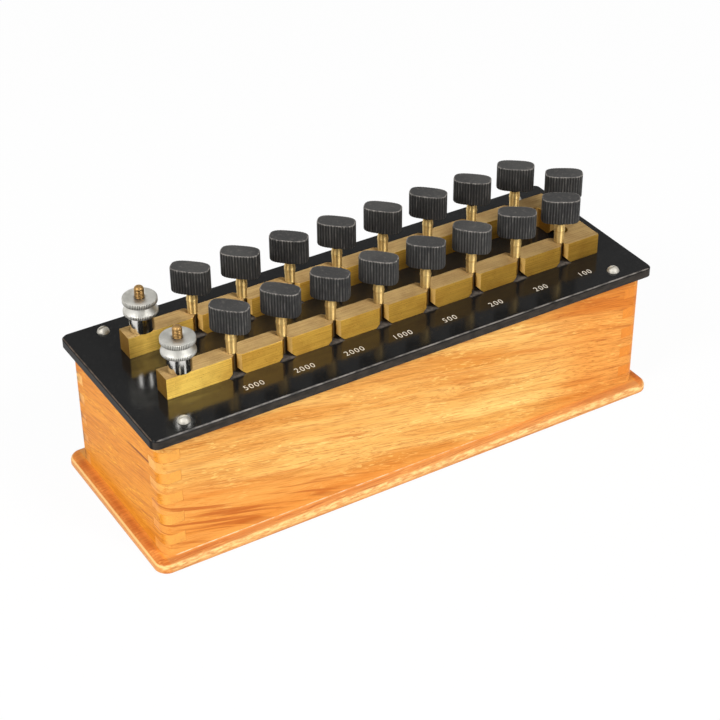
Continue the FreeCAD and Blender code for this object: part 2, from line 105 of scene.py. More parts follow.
# Plug heads: upright ribs all round, a rounded lower edge and a worn upper edge
HEAD_SQUARENESS = 3.0
HEAD_RIBS = 36
HEAD_RIB_STEPS = 8
HEAD_RIB_DEPTH = 0.35 * MM
HEAD_ROUND = 0.8 * MM
HEAD_BEVEL = 0.3 * MM
HEAD_BOSS_HEIGHT = 1.0 * MM
HEAD_BOSS_TOP = 7.4 * MM
HEAD_BOSS_BOTTOM = 5.8 * MM
HEAD_BOSS_OVERLAP = 0.2 * MM
HEAD_BOSS_COLUMNS = 48
HEAD_FOOT_RIBBING = 0.35

# Steps in degrees in which a head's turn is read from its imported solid
HEAD_TURN_STEP = 0.25

# The worn upper edge of a head, ring by ring: drop and inset in bevels, share of the ribs, wear
HEAD_RIM = (
    (2.5, 0.0, 1.0, 0.0),
    (1.0, 0.0, 1.0, 0.4),
    (0.3, 0.3, 0.6, 1.0),
    (0.0, 1.0, 0.3, 0.6),
    (0.0, 2.0, 0.0, 0.0),
)

# Thumb nuts: two knurled rims with a flared waist between them
NUT_KNURLS = 62
NUT_KNURL_STEPS = 6
NUT_KNURL_DEPTH = 0.35 * MM
NUT_LOWER_RIM = 1.6 * MM
NUT_FLARE = 2.8 * MM
NUT_GROOVE = 0.9 * MM
NUT_WAIST = 11.4 * MM
NUT_CHAMFER = 0.25 * MM
NUT_BORE = 4.52 * MM
NUT_BORE_CHAMFER = 0.3 * MM

# Screwed part of the terminal studs
THREAD_PITCH = 0.8 * MM
THREAD_DEPTH = 0.35 * MM
STUD_CORE = 3.7 * MM
THREAD_STEPS_PER_TURN = 10
STUD_COLUMNS = 40
TIP_ROUND = 1.5 * MM
TIP_NARROWING = 0.3

# Woods, each as a pale, a middle and a dark tone
HONEY = (srgb(244, 189, 105), srgb(219, 147, 65), srgb(176, 98, 41))
AMBER = (srgb(232, 150, 46), srgb(219, 133, 34), srgb(178, 90, 26))
RUSSET = (srgb(216, 152, 86), srgb(198, 128, 68), srgb(164, 88, 46))

# Tints that multiply a finish's colour
RUDDY_TINT = (0.92, 0.70, 0.52, 1.0)
PALER_TINT = (1.05, 1.18, 1.3, 1.0)
PLINTH_END_TINT = (1.06, 0.85, 0.63, 1.0)
BLOCK_TOP_TINT = (0.92, 1.1, 2.9, 1.0)
# Brass fronts painted brighter towards the left end: a painted highlight
LEFT_HIGHLIGHT_TINT = (1.35, 1.58, 2.0, 1.0)

# Where a change of tone starts on the box and where it is full, along X, Y or Z
RUDDY_X = (55 * MM, 100 * MM)
PALER_LEFT_X = (0.0, 40 * MM)
PALER_RIGHT_X = (95 * MM, 75 * MM)
PALER_Z = (36 * MM, 22 * MM)
STAIN_X = (-119 * MM, -123 * MM)
STAIN_Y = (34 * MM, 41 * MM)
GLUE_X = (70 * MM, 0.0)
# Where the painted highlight on the brass fronts starts and where it is full
LEFT_HIGHLIGHT_X = (-72 * MM, -97 * MM)
# Where bevels near the right end are painted dark: a painted shadow of the plugs
SHADOWED_BEVEL_X = (97 * MM, 100 * MM)

# How squarely a face looks along an axis where a tone for such faces starts and where it is full
SQUARE_FACE = (0.8, 0.95)
END_GRAIN_FACE = (0.4, 0.85)

# The slanting edge of the heartwood on the long boards
HEART_SLOPE = 0.29
HEART_LINE = 6.0 * MM
HEART_WOBBLE = 9 * MM
HEART_FADE = (9 * MM, -3 * MM)

# Corner radius of the plinth's outline
PLINTH_CORNER = 6.0 * MM

# How far the grain leans across the long and the short boards, and how far it sways
LONG_GRAIN_LEAN = 0.18
SHORT_GRAIN_LEAN = 0.2
GRAIN_SWAY = 5.0 * MM

# A dark split in the left board: its height at the middle of the board, its slope, ends and soft edge
SPLIT_HEIGHT = 46.1 * MM
SPLIT_SLOPE = -0.118
SPLIT_START = -6.0 * MM
SPLIT_END = -36.0 * MM
SPLIT_TAPER = 2 * MM
SPLIT_EDGE = (0.9 * MM, 0.3 * MM)
SPLIT_DARKNESS = 0.85

# Scale of the wave pattern that draws the turns of the windings
SILK_WAVE_SCALE = 900.0

# Numbers engraved in the panel beside the plugs
FRONT_NUMBERS = ("5000", "2000", "2000", "1000", "500", "200", "200", "100")
BACK_NUMBERS = ("1", "2", "2", "5", "10", "20", "20", "50")
NUMBER_HEIGHT = 3.3 * MM
TYPE_HEIGHT_SHARE = 0.7
NUMBER_SPACING = 1.2
NUMBER_SHIFT = 2.6 * MM
NUMBER_PITCH = 24.67 * MM
NUMBER_FRONT_LINE = 14.3 * MM
NUMBER_BACK_LINE = 13.0 * MM
NUMBER_DRIFT = 0.24 * MM
NUMBER_THINNING = 0.045 * MM
NUMBER_NARROWING = 0.9
NUMBER_PROUD = 0.03 * MM

# Camera, worked out from the edges of the box in the photograph
CAMERA_PLACE = Vector((-375.57, -620.36, 535.03)) * MM
CAMERA_YAW = 0.5416
CAMERA_PITCH = 0.6019
CAMERA_ROLL = -0.0081
CAMERA_LENS = 95.36
CAMERA_SENSOR = 36.0
CAMERA_REACH = 50.0

# Studio
WHITE = (1.0, 1.0, 1.0, 1.0)
FLOOR_COLOUR = (0.85, 0.85, 0.85, 1.0)
FLOOR_SIDES = 96
FLOOR_RADIUS = 12.0
FLOOR_WHITE_SHARE = 0.95
SKY_GREY = 0.4
SKY_FRONT_SHEEN = 0.08
SKY_BACK_SHEEN = 0.9
SKY_BAND_SHEEN = 0.19
SKY_TOP_SHEEN = 1.45

# Where the sky changes, as places on a ball of radius 1: the dark band, its side, and the white foot
SKY_BAND_FOOT_Z = (0.34, 0.46)
SKY_BAND_HEAD_Z = (0.68, 0.8)
SKY_BACK_Y = (-0.3, 0.3)
SKY_WHITE_FOOT_Z = (0.3, 0.12)


class NodeSheet:
    """A node tree being drawn: each call adds one node and sets or links its sockets."""

    def __init__(self, tree):
        self.tree = tree

    def add(self, kind, inputs=None, **settings):
        """A new node with its settings and inputs."""
        node = self.tree.nodes.new(kind)
        for key, value in settings.items():
            setattr(node, key, value)
        for socket, value in (inputs or {}).items():
            self.feed(node.inputs[socket], value)
        return node

    def feed(self, socket, value):
        """Link a socket to another, or give it a plain value."""
        if isinstance(value, bpy.types.NodeSocket):
            self.tree.links.new(value, socket)
        else:
            socket.default_value = value

    def calc(self, operation, *values, clamp=False):
        """The result of one sum on numbers."""
        node = self.add("ShaderNodeMath", operation=operation, use_clamp=clamp)
        for socket, value in zip(node.inputs, values):
            self.feed(socket, value)
        return node.outputs[0]

    def times(self, first, *others):
        """The product of two or more numbers."""
        product = first
        for value in others:
            product = self.calc("MULTIPLY", product, value)
        return product

    def step(self, value, start, end, low=0.0, high=1.0):
        """A smooth rise from low to high while the value goes from start to end."""
        limits = {"From Min": start, "From Max": end, "To Min": low, "To Max": high}
        node = self.add("ShaderNodeMapRange", {"Value": value, **limits}, interpolation_type="SMOOTHSTEP")
        return node.outputs["Result"]

    def blend(self, share, below, above):
        """A number between two others."""
        return self.add("ShaderNodeMix", {0: share, 2: below, 3: above}, data_type="FLOAT").outputs[0]

    def split(self, vector):
        return self.add("ShaderNodeSeparateXYZ", {0: vector}).outputs

    def join(self, x, y, z):
        return self.add("ShaderNodeCombineXYZ", {0: x, 1: y, 2: z}).outputs[0]


class Finish(NodeSheet):
    """A procedural material whose patterns read the piece's own Object coordinates."""

    def __init__(self, name, **constants):
        self.material = bpy.data.materials.new(name)
        self.material.use_nodes = True
        super().__init__(self.material.node_tree)
        self.shader = self.tree.nodes["Principled BSDF"]
        coordinates = self.add("ShaderNodeTexCoord")
        self.place = coordinates.outputs["Object"]
        self.facing = coordinates.outputs["Normal"]
        self.set(**constants)

    def set(self, **values):
        """Feed the shader's sockets by their names, and hand back the material."""
        for socket, value in values.items():
            self.feed(self.shader.inputs[socket.replace("_", " ")], value)
        return self.material

    def noise(self, cell, detail=2.0, roughness=0.5, distortion=0.0, shift=(0.0, 0.0, 0.0), at=None):
        """Noise with cells of the given size along X, Y and Z, on Object coordinates unless told."""
        scale = [1 / size for size in cell]
        place = at or self.place
        mapping = self.add("ShaderNodeMapping", {"Vector": place, "Scale": scale, "Location": shift})
        settings = {"Scale": 1.0, "Detail": detail, "Roughness": roughness, "Distortion": distortion}
        return self.add("ShaderNodeTexNoise", {"Vector": mapping.outputs[0], **settings}).outputs[0]

    def ramp(self, value, *stops):
        """A colour that changes with a value, through stops of a position and a colour."""
        node = self.add("ShaderNodeValToRGB", {"Fac": value})
        elements = node.color_ramp.elements
        elements.remove(elements[1])
        elements[0].position = stops[0][0]
        elements[0].color = stops[0][1]
        for position, colour in stops[1:]:
            elements.new(position).color = colour
        return node.outputs["Color"]

    def mix(self, share, below, above, blend="MIX"):
        """One colour laid over another by a share."""
        node = self.add("ShaderNodeMix", data_type="RGBA", blend_type=blend)
        self.feed(node.inputs[0], share)
        self.feed(node.inputs[6], below)
        self.feed(node.inputs[7], above)
        return node.outputs[2]

    def stretch(self, amount, x, y, z):
        """Highlights drawn out along a direction, as fine tool marks across it do."""
        self.feed(self.shader.inputs["Anisotropic"], amount)
        self.feed(self.shader.inputs["Tangent"], self.join(x, y, z))

    def attribute(self, name):
        """A number that a ringed piece stores at each of its points."""
        return self.add("ShaderNodeAttribute", attribute_name=name).outputs["Fac"]

    def bump(self, height, depth, strength=1.0):
        """Normals that show a height as relief."""
        settings = {"Strength": strength, "Distance": depth, "Height": height}
        return self.add("ShaderNodeBump", settings).outputs["Normal"]


def middle(node):
    """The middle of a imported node's box."""
    low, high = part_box(node)
    return (low + high) / 2


def grain_cell(along, length, width):
    """A noise cell drawn out along the grain, with its length and width given in millimetres."""
    sizes = [width * MM] * 3
    sizes[along] = length * MM
    return sizes


def even_cell(size):
    """A noise cell that is the same all ways, with its size given in millimetres."""
    return [size * MM] * 3


def swaying_grain(finish, along, lean, shift):
    """Coordinates for a grain that leans across its board and sways a little on its way along it."""
    across = list(finish.split(finish.place))
    sway = finish.noise(grain_cell(along, 60, 18), detail=1.0, shift=shift)
    across[2] = finish.calc("ADD", across[2], finish.times(across[along], lean))
    for side in range(3):
        if side != along:
            across[side] = finish.calc("ADD", across[side], finish.times(sway, GRAIN_SWAY))
    return finish.join(*across)


def wood(name, along, pale, mid, dark, end_tone, seed, lean=0.0, pore_share=0.6):
    """Varnished wood with its grain along one axis: tones, streaks, fine fibres, pores and pale flecks."""
    finish = Finish(name, Specular_IOR_Level=0.06)
    shift = (seed * 1.7, seed * 2.3, seed * 0.9)
    grain = swaying_grain(finish, along, lean, shift)

    def figure(length, width, **settings):
        return finish.noise(grain_cell(along, length, width), shift=shift, at=grain, **settings)

    tone = figure(120, 11, detail=3.0, distortion=0.4)
    streaks = figure(48, 1.5, detail=5.0, roughness=0.7)
    fibres = figure(13, 0.42, roughness=0.6)
    clusters = figure(34, 6)
    pores = figure(4.2, 0.38, detail=3.0, roughness=0.7)
    flecks = figure(4.0, 0.75, distortion=0.5)
    fleck_groups = figure(30, 9, detail=3.0)

    colour = finish.mix(finish.step(tone, 0.4, 0.7), pale, mid)
    colour = finish.mix(finish.step(streaks, 0.46, 0.72, 0.0, 0.55), colour, dark)
    colour = finish.mix(finish.step(fibres, 0.45, 0.75, 0.0, 0.65), colour, dark)
    crowded = finish.step(clusters, 0.38, 0.62, 0.15 * pore_share, pore_share)
    dashes = finish.times(finish.step(pores, 0.52, 0.7), crowded)
    colour = finish.mix(dashes, colour, dark)
    fleck_share = finish.step(fleck_groups, 0.46, 0.62, 0.05, 0.6)
    bright = finish.times(finish.step(flecks, 0.52, 0.7), fleck_share)
    colour = finish.mix(bright, colour, pale, "SCREEN")
    facing = finish.split(finish.facing)[along]
    end_grain = finish.step(finish.calc("ABSOLUTE", facing), *END_GRAIN_FACE, 0.0, 0.5)
    colour = finish.mix(end_grain, colour, end_tone)

    relief = finish.calc("ADD", finish.times(streaks, 0.5), finish.times(dashes, -0.8))
    finish.set(Roughness=finish.step(pores, 0.5, 0.75, 0.36, 0.55), Normal=finish.bump(relief, 0.1 * MM, 0.3))
    finish.set(Base_Color=colour)
    return finish, colour, grain


def pale_foot(finish, colour, tone):
    """A board's colour, brighter towards the plinth."""
    height = finish.calc("SUBTRACT", finish.split(finish.place)[2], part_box("front_wall")[0].z)
    return finish.mix(finish.step(height, 4 * MM, 0.5 * MM, 0.0, 0.4), colour, tone)


def ruddy_end(finish, colour, across, share=1.0):
    """A board's colour, redder towards the right end of the case."""
    redder = finish.times(finish.step(across[0], *RUDDY_X), share)
    return finish.mix(redder, colour, RUDDY_TINT, "MULTIPLY")


def long_board_wood():
    """The long boards: honey wood with a redder sweep of heartwood, stained at the left back corner."""
    tones = {"end_tone": srgb(250, 184, 96), "seed": 1.0, "lean": LONG_GRAIN_LEAN, "pore_share": 0.8}
    finish, colour, grain = wood("long_board_wood", 0, *HONEY, **tones)
    across = finish.split(finish.place)
    swayed = finish.split(grain)
    red = finish.noise(grain_cell(0, 80, 4), detail=3.0, at=grain)
    colour = finish.mix(finish.step(red, 0.6, 0.7, 0.0, 0.6), colour, srgb(206, 122, 54))
    colour = ruddy_end(finish, colour, across)
    paler = finish.times(
        finish.step(across[0], *PALER_LEFT_X),
        finish.step(across[0], *PALER_RIGHT_X),
        finish.step(across[2], *PALER_Z),
    )
    colour = finish.mix(paler, colour, PALER_TINT, "MULTIPLY")
    slant = finish.calc("ADD", across[2], finish.times(across[0], HEART_SLOPE))
    wobble = finish.noise((45 * MM, 45 * MM, 9 * MM), detail=3.0)
    above = finish.calc("SUBTRACT", slant, HEART_LINE)
    above = finish.calc("ADD", above, finish.times(wobble, HEART_WOBBLE))
    heart = finish.step(above, *HEART_FADE)
    steeper = finish.times(across[0], HEART_SLOPE - LONG_GRAIN_LEAN)
    flow = finish.join(across[0], 0.0, finish.calc("ADD", swayed[2], steeper))
    lines = finish.noise((60 * MM, MM, 2.2 * MM), detail=3.0, at=flow)
    colour = finish.mix(finish.times(heart, 0.6), colour, srgb(228, 142, 56))
    red_lines = finish.times(heart, finish.step(lines, 0.5, 0.64, 0.0, 0.75))
    colour = finish.mix(red_lines, colour, srgb(180, 90, 34))
    colour = pale_foot(finish, colour, srgb(248, 188, 98))
    blots = finish.noise((5 * MM, 5 * MM, 2 * MM), detail=3.0)
    stained = finish.times(
        finish.step(across[1], *STAIN_Y),
        finish.step(blots, 0.35, 0.5),
        finish.step(across[0], *STAIN_X, 0.0, 0.8),
    )
    colour = finish.mix(stained, colour, srgb(104, 58, 36))
    return finish.set(Base_Color=colour)


def short_board_wood():
    """The short boards: amber wood, with a dark split near the front of the left one."""
    tones = {"end_tone": srgb(240, 180, 98), "seed": 4.0, "lean": SHORT_GRAIN_LEAN, "pore_share": 0.2}
    finish, colour, _ = wood("short_board_wood", 1, *AMBER, **tones)
    across = finish.split(finish.place)
    finger_ends = finish.step(finish.calc("ABSOLUTE", finish.split(finish.facing)[1]), *END_GRAIN_FACE)
    colour = ruddy_end(finish, colour, across, finger_ends)
    height = finish.calc("SUBTRACT", across[2], SPLIT_HEIGHT)
    height = finish.calc("SUBTRACT", height, finish.times(across[1], SPLIT_SLOPE))
    split = finish.times(
        finish.step(finish.calc("ABSOLUTE", height), *SPLIT_EDGE),
        finish.step(across[1], SPLIT_START, (SPLIT_START + SPLIT_END) / 2),
        finish.step(across[1], SPLIT_END, SPLIT_END + SPLIT_TAPER),
        finish.calc("LESS_THAN", across[0], 0.0),
        SPLIT_DARKNESS,
    )
    colour = finish.mix(split, colour, srgb(126, 50, 20))
    return finish.set(Base_Color=pale_foot(finish, colour, srgb(255, 178, 68)))


def distance_from_rim(finish, across, edge, corner_radius):
    """How far a point lies inside a rounded oblong's rim, up to the corner radius."""
    beyond = []
    for side, half in zip(across[:2], (edge.x, edge.y)):
        out = finish.calc("SUBTRACT", finish.calc("ABSOLUTE", side), half - corner_radius)
        beyond.append(finish.calc("POWER", finish.calc("MAXIMUM", out, 0.0), 2.0))
    return finish.calc("SUBTRACT", corner_radius, finish.calc("SQRT", finish.calc("ADD", *beyond)))


def glue_and_glint(finish, across, breaks):
    """A thin broken line of old glue along the front and back walls' foot, painted white as its glint, fading
    towards the right end.
    """
    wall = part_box("front_wall")
    off_foot = finish.calc("SUBTRACT", finish.calc("ABSOLUTE", across[1]), abs(wall[0].y))
    from_corner = finish.calc("SUBTRACT", wall[1].x, finish.calc("ABSOLUTE", across[0]))
    return finish.times(
        finish.step(off_foot, 0.9 * MM, 0.4 * MM),
        finish.step(off_foot, -0.2 * MM, 0.0),
        finish.step(from_corner, 4 * MM, 6 * MM),
        finish.step(across[0], *GLUE_X),
        finish.step(breaks, 0.4, 0.6, 0.1, 0.7),
    )


def plinth_wood():
    """The plinth: russet wood, rim rubbed pale in patches with a painted highlight, painted light and old
    glue with a painted glint by the walls.
    """
    finish, colour, _ = wood("plinth_wood", 0, *RUSSET, end_tone=srgb(206, 128, 60), seed=7.0, pore_share=0.3)
    across = finish.split(finish.place)
    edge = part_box("plinth")[1]
    wall_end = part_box("front_wall")[1].x
    from_rim = distance_from_rim(finish, across, edge, PLINTH_CORNER)
    from_middle = finish.calc("ABSOLUTE", across[0])
    patches = finish.noise((5 * MM, 4 * MM, 1.2 * MM), detail=4.0, roughness=0.65)
    at_ends = finish.step(from_middle, wall_end - 0.5 * MM, wall_end + 0.5 * MM)
    colour = finish.mix(at_ends, colour, PLINTH_END_TINT, "MULTIPLY")
    # Lighter and more orange near the walls: painted light
    light_near_wall = finish.step(from_rim, 3.4 * MM, 5.4 * MM, 0.0, 0.45)
    colour = finish.mix(light_near_wall, colour, finish.mix(at_ends, srgb(244, 172, 80), srgb(255, 172, 62)))
    on_side = finish.step(from_middle, edge.x - 2.4 * MM, edge.x - 1.4 * MM)
    # A pale band on the rounded rim: rubbed patches and a painted highlight
    crest = finish.times(
        finish.step(from_rim, 1.4 * MM, 0.6 * MM),
        finish.step(across[2], 1.4 * MM, 2.6 * MM, 0.2, 1.0),
        finish.step(patches, 0.4, 0.62, 0.15, 0.9),
        finish.calc("SUBTRACT", 1.0, on_side),
    )
    # A pale line along the rim of the ends: a painted highlight
    ridge_highlight = finish.times(
        finish.step(from_rim, 1.0 * MM, 0.6 * MM),
        finish.step(from_rim, 0.1 * MM, 0.35 * MM, 0.3, 0.85),
        on_side,
    )
    colour = finish.mix(finish.calc("ADD", crest, ridge_highlight), colour, srgb(250, 208, 138))
    # Old glue at the walls' foot, painted white as a glint
    colour = finish.mix(glue_and_glint(finish, across, patches), colour, srgb(255, 232, 200))
    return finish.set(Base_Color=colour)


def drawn_brass(name, line_cell, bright, dull, roughness):
    """Brass with tool lines in two widths, faint tarnish and a slightly uneven gloss."""
    finish = Finish(name, Metallic=1.0)
    lines = finish.noise(line_cell, detail=3.0, roughness=0.65)
    bands = finish.noise([size * 2 for size in line_cell], detail=3.0, roughness=0.6, shift=(3.0, 5.0, 7.0))
    clouds = finish.noise(even_cell(9), detail=4.0, roughness=0.6)
    specks = finish.noise(even_cell(0.7), detail=1.0)
    colour = finish.mix(finish.step(clouds, 0.4, 0.7, 0.0, 0.4), bright, dull)
    colour = finish.mix(finish.step(bands, 0.46, 0.66, 0.0, 0.4), colour, dull)
    colour = finish.mix(finish.step(lines, 0.42, 0.68, 0.0, 0.5), colour, dull)
    colour = finish.mix(finish.step(specks, 0.66, 0.74, 0.0, 0.4), colour, dull, "MULTIPLY")
    gloss = finish.step(lines, 0.3, 0.7, roughness - 0.08, roughness + 0.1)
    return finish, colour, gloss, finish.bump(lines, 0.03 * MM, 0.3)


def plain_brass(name, line_cell, bright, dull, roughness):
    """A plain metal of the drawn kind, with nothing added."""
    finish, colour, gloss, normal = drawn_brass(name, line_cell, bright, dull, roughness)
    return finish.set(Base_Color=colour, Roughness=gloss, Normal=normal)


def block_brass():
    """The blocks: brushed along the row, paler on top, with milled bevels beside the gaps and sawn ends."""
    lines = (16 * MM, 0.2 * MM, 0.2 * MM)
    tones = (srgb(212, 168, 72), srgb(158, 110, 40))
    finish, colour, gloss, normal = drawn_brass("block_brass_brushed", lines, *tones, roughness=0.45)
    finish.stretch(0.85, 0.0, 0.3, 1.0)
    facing = finish.split(finish.facing)
    colour = finish.mix(finish.step(facing[2], *SQUARE_FACE), colour, BLOCK_TOP_TINT, "MULTIPLY")
    along = finish.split(finish.place)[0]
    on_flank = finish.step(finish.calc("ABSOLUTE", facing[1]), *SQUARE_FACE)
    # Front and back faces painted brighter towards the left end: a painted highlight
    painted_highlight = finish.times(finish.step(along, *LEFT_HIGHLIGHT_X), on_flank)
    colour = finish.mix(painted_highlight, colour, LEFT_HIGHLIGHT_TINT, "MULTIPLY")
    slant = finish.calc("ABSOLUTE", finish.times(facing[0], facing[1]))
    bevel = finish.step(slant, 0.25, 0.45)
    colour = finish.mix(finish.times(bevel, 0.45), colour, srgb(240, 204, 132))
    sawn = finish.step(finish.calc("ABSOLUTE", facing[0]), *SQUARE_FACE, 0.0, 0.4)
    colour = finish.mix(sawn, colour, srgb(122, 82, 34))
    # Bevels near the right end painted dark brown: a painted shadow of the plugs
    bevel_shadow = finish.times(finish.step(along, *SHADOWED_BEVEL_X, 0.0, 0.7), bevel)
    colour = finish.mix(bevel_shadow, colour, srgb(104, 72, 34))
    gloss = finish.calc("ADD", gloss, finish.calc("MAXIMUM", sawn, finish.times(bevel, 0.15)))
    gloss = finish.calc("ADD", gloss, finish.step(facing[2], *SQUARE_FACE, 0.0, 0.25))
    return finish.set(Base_Color=colour, Roughness=gloss, Normal=normal)


def pin_brass():
    """The pins: turned and pale under a satin skin, painted dark as shade where they stand in their sockets.
    """
    lines = (9 * MM, 9 * MM, 0.12 * MM)
    tones = (srgb(255, 224, 150), srgb(228, 182, 106))
    finish, colour, gloss, _ = drawn_brass("pin_brass_turned", lines, *tones, roughness=0.5)
    finish.set(Metallic=0.9)
    finish.stretch(0.9, 0.0, 0.0, 1.0)
    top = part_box("front_row_blocks")[1].z
    # Dark and rougher below the block top: painted shade in the sockets
    sunk_in_shade = finish.step(finish.split(finish.place)[2], top + 0.3 * MM, top - 0.6 * MM, 0.0, 0.9)
    colour = finish.mix(sunk_in_shade, colour, srgb(60, 40, 20))
    return finish.set(Base_Color=colour, Roughness=finish.calc("ADD", gloss, sunk_in_shade))


def stud_brass():
    """The terminal studs: dull brown brass, painted dark in the thread as shade."""
    tones = (srgb(190, 152, 96), srgb(132, 100, 60))
    lines = even_cell(0.6)
    finish, colour, gloss, normal = drawn_brass("stud_brass_dull", lines, *tones, roughness=0.45)
    groove = finish.attribute("rib_groove")
    # Painted shade in the thread's groove
    colour = finish.mix(finish.step(groove, 0.1, 0.7, 0.0, 0.8), colour, srgb(70, 50, 28))
    return finish.set(Base_Color=colour, Roughness=gloss, Normal=normal)


def nickel(name, dull, bright, roughness):
    """Plated nickel with faint grey clouds, dark between knurls from dirt and painted shade."""
    finish = Finish(name, Metallic=1.0)
    clouds = finish.noise(even_cell(4), detail=3.0)
    grain = finish.noise(even_cell(0.4), detail=1.0)
    colour = finish.ramp(clouds, (0.3, dull), (0.7, bright))
    colour = finish.mix(finish.step(grain, 0.55, 0.75, 0.0, 0.2), colour, srgb(150, 146, 138))
    groove = finish.attribute("rib_groove")
    # Dark between the knurls: dirt and painted shade
    colour = finish.mix(finish.step(groove, 0.1, 0.8, 0.0, 0.9), colour, srgb(58, 54, 48))
    gloss = finish.step(clouds, 0.3, 0.7, roughness, roughness + 0.04)
    return finish.set(Base_Color=colour, Roughness=gloss)


def gap_dust_and_light(finish, across, grain):
    """Where the panel is painted grey in the gaps between the blocks of both rows: dust, and painted light
    falling through the gaps.
    """
    first = middle("plug_pin_front_1")
    pitch = middle("plug_pin_front_2").x - first.x
    row_length = pitch * len(FRONT_NUMBERS)
    along = finish.calc("SUBTRACT", across[0], first.x - pitch / 2)
    in_pitch = finish.calc("MODULO", along, pitch)
    from_gap = finish.calc("ABSOLUTE", finish.calc("SUBTRACT", in_pitch, pitch / 2))
    from_row = finish.calc("ABSOLUTE", finish.calc("ADD", finish.calc("ABSOLUTE", across[1]), first.y))
    return finish.times(
        finish.step(along, row_length, row_length - MM),
        finish.step(along, -MM, 0.0),
        finish.step(from_gap, 4.6 * MM, 2.6 * MM),
        finish.step(from_row, 6.2 * MM, 4.4 * MM),
        finish.step(grain, 0.3, 0.62, 0.25, 0.95),
    )


def panel_black():
    """Polished ebonite: deep black with faint dust, grey in the gaps from dust and painted light, and a
    greyed bevel painted lighter in front.
    """
    finish = Finish("panel_ebonite_polished", IOR=1.57)
    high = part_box("panel")[1]
    across = finish.split(finish.place)
    from_end = finish.calc("SUBTRACT", high.x, finish.calc("ABSOLUTE", across[0]))
    from_side = finish.calc("SUBTRACT", high.y, finish.calc("ABSOLUTE", across[1]))
    from_rim = finish.calc("MINIMUM", from_end, from_side)
    chatter = finish.noise((5 * MM, 5 * MM, 2 * MM), detail=4.0, roughness=0.6)
    worn = finish.times(
        finish.step(from_rim, 0.8 * MM, 0.5 * MM),
        finish.step(across[2], high.z - 0.7 * MM, high.z - 0.4 * MM),
        finish.step(chatter, 0.3, 0.65, 0.1, 0.6),
    )
    dust = finish.noise(even_cell(1.4), detail=5.0, roughness=0.7)
    colour = finish.mix(finish.step(dust, 0.56, 0.8, 0.0, 0.12), srgb(24, 24, 24), srgb(120, 118, 112))
    # Grey in the gaps: dust and painted light
    colour = finish.mix(gap_dust_and_light(finish, across, dust), colour, srgb(118, 110, 102))
    facing = finish.split(finish.facing)
    front_side = finish.step(finish.calc("ABSOLUTE", facing[1]), 0.4, 0.7)
    # The greyed bevel is grey wear, painted lighter on the front side as a painted highlight
    colour = finish.mix(worn, colour, finish.mix(front_side, srgb(126, 110, 97), srgb(168, 160, 152)))
    edge_side = finish.step(across[2], high.z - 0.6 * MM, high.z - 1.2 * MM)
    scuffs = finish.times(edge_side, front_side, finish.step(chatter, 0.3, 0.7, 0.4, 1.0))
    colour = finish.mix(scuffs, colour, srgb(62, 57, 52))
    gloss = finish.step(dust, 0.4, 0.8, 0.13, 0.22)
    gloss = finish.calc("ADD", gloss, finish.times(edge_side, 0.15))
    shine = finish.step(facing[2], 0.9, 0.99, 0.03, 0.32)
    return finish.set(Base_Color=colour, Roughness=gloss, Specular_IOR_Level=shine)


def head_black():
    """Moulded ebonite gone dull: charcoal, painted dark between the ribs as shade, rubbed pale in places on
    ribs and rim.
    """
    finish = Finish("head_ebonite_dull", IOR=1.5)
    wear = finish.attribute("worn_edge")
    groove = finish.attribute("rib_groove")
    upward = finish.split(finish.facing)[2]
    speckle = finish.noise((0.6 * MM, 0.6 * MM, 1.6 * MM), detail=3.0, roughness=0.7)
    rubs = finish.noise((1.1 * MM, 1.1 * MM, 7 * MM), detail=3.0, roughness=0.6)
    scuffs = finish.noise(even_cell(2.2), detail=5.0, roughness=0.7)
    clouds = finish.noise(even_cell(22), detail=2.0)
    colour = finish.mix(finish.step(clouds, 0.35, 0.65), srgb(36, 35, 34), srgb(54, 53, 51))
    colour = finish.mix(finish.step(speckle, 0.5, 0.75, 0.0, 0.4), colour, srgb(92, 88, 84))
    # Painted shade between the ribs
    colour = finish.mix(finish.step(groove, 0.15, 0.7, 0.0, 0.65), colour, srgb(14, 14, 14))
    rubbed = finish.times(
        finish.step(groove, 0.3, 0.05),
        finish.step(upward, 0.6, 0.3),
        finish.step(rubs, 0.48, 0.68, 0.0, 0.45),
    )
    colour = finish.mix(rubbed, colour, srgb(116, 112, 107))
    scuffed = finish.times(finish.step(scuffs, 0.5, 0.72, 0.0, 0.5), finish.step(upward, 0.6, 0.95))
    colour = finish.mix(scuffed, colour, srgb(104, 99, 94))
    broken = finish.times(wear, finish.step(rubs, 0.36, 0.6, 0.15, 0.85))
    colour = finish.mix(broken, colour, srgb(150, 144, 137))
    gloss = finish.step(scuffs, 0.3, 0.7, 0.5, 0.68)
    return finish.set(Base_Color=colour, Roughness=gloss, Normal=finish.bump(speckle, 0.05 * MM, 0.6))


def number_paint():
    """Cream filler rubbed into the engraved numbers."""
    finish = Finish("number_filler", Roughness=0.6)
    patches = finish.noise(even_cell(0.8), detail=2.0)
    colour = finish.ramp(patches, (0.3, srgb(206, 195, 176)), (0.6, srgb(244, 236, 220)))
    return finish.set(Base_Color=colour)


def wound_silk():
    """Green silk-covered wire in level turns."""
    finish = Finish("winding_silk_green", Roughness=0.7)
    settings = {"Vector": finish.place, "Scale": SILK_WAVE_SCALE}
    turns = finish.add("ShaderNodeTexWave", settings, bands_direction="Z")
    height = turns.outputs["Fac"]
    colour = finish.ramp(height, (0.0, srgb(40, 62, 40)), (1.0, srgb(92, 122, 78)))
    return finish.set(Base_Color=colour, Normal=finish.bump(height, 0.1 * MM))


